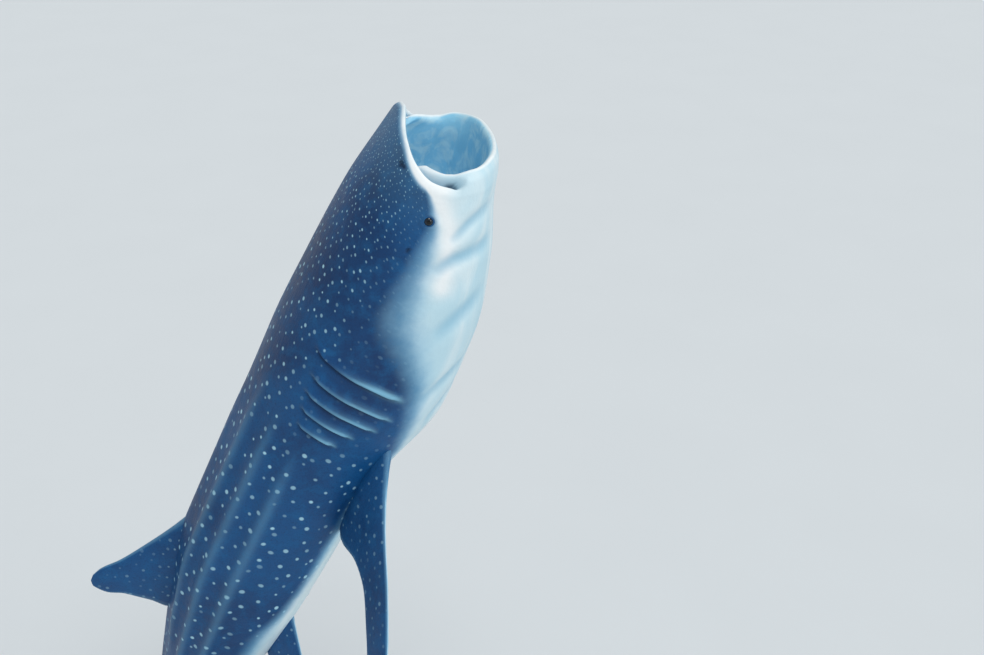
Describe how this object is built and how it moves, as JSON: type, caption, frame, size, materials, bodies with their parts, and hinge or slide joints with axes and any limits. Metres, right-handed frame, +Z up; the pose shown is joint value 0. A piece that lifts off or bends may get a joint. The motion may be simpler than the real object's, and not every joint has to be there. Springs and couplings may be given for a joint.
{
  "type": "whale shark",
  "caption": "Life-size whale shark hanging head-up with its mouth wide open to feed, held by a flat base and rods.",
  "frame": {"origin": "centre of the base's underside, on the floor", "axes": "+Z up. The body's middle plane is XZ ahead of the tail: the head is up and towards +X, the back faces -X and the animal's right side faces -Y"},
  "size_m": [3.3596, 2.3862, 5.2932],
  "materials": {
    "skin_dark": "smooth slate-blue shark skin with pale spots",
    "skin_pale": "smooth blue-white skin of the throat and belly",
    "eye": "glossy dark eye",
    "stand_base": "satin dark grey paint",
    "stand_rod": "brushed steel"
  },
  "bodies": {
    "root": {"head": "skin_dark", "lower_jaw": "skin_pale", "torso": "skin_dark", "tail": "skin_dark", "dorsal_fin_first": "skin_dark", "dorsal_fin_second": "skin_dark", "anal_fin": "skin_dark", "pectoral_fin_right": "skin_dark", "pectoral_fin_left": "skin_dark", "pelvic_fin_right": "skin_dark", "pelvic_fin_left": "skin_dark", "caudal_fin": "skin_dark", "eye_right": "eye", "eye_left": "eye", "stand_base": "stand_base", "stand_rod_right": "stand_rod", "stand_rod_left": "stand_rod"}
  },
  "joints": []
}
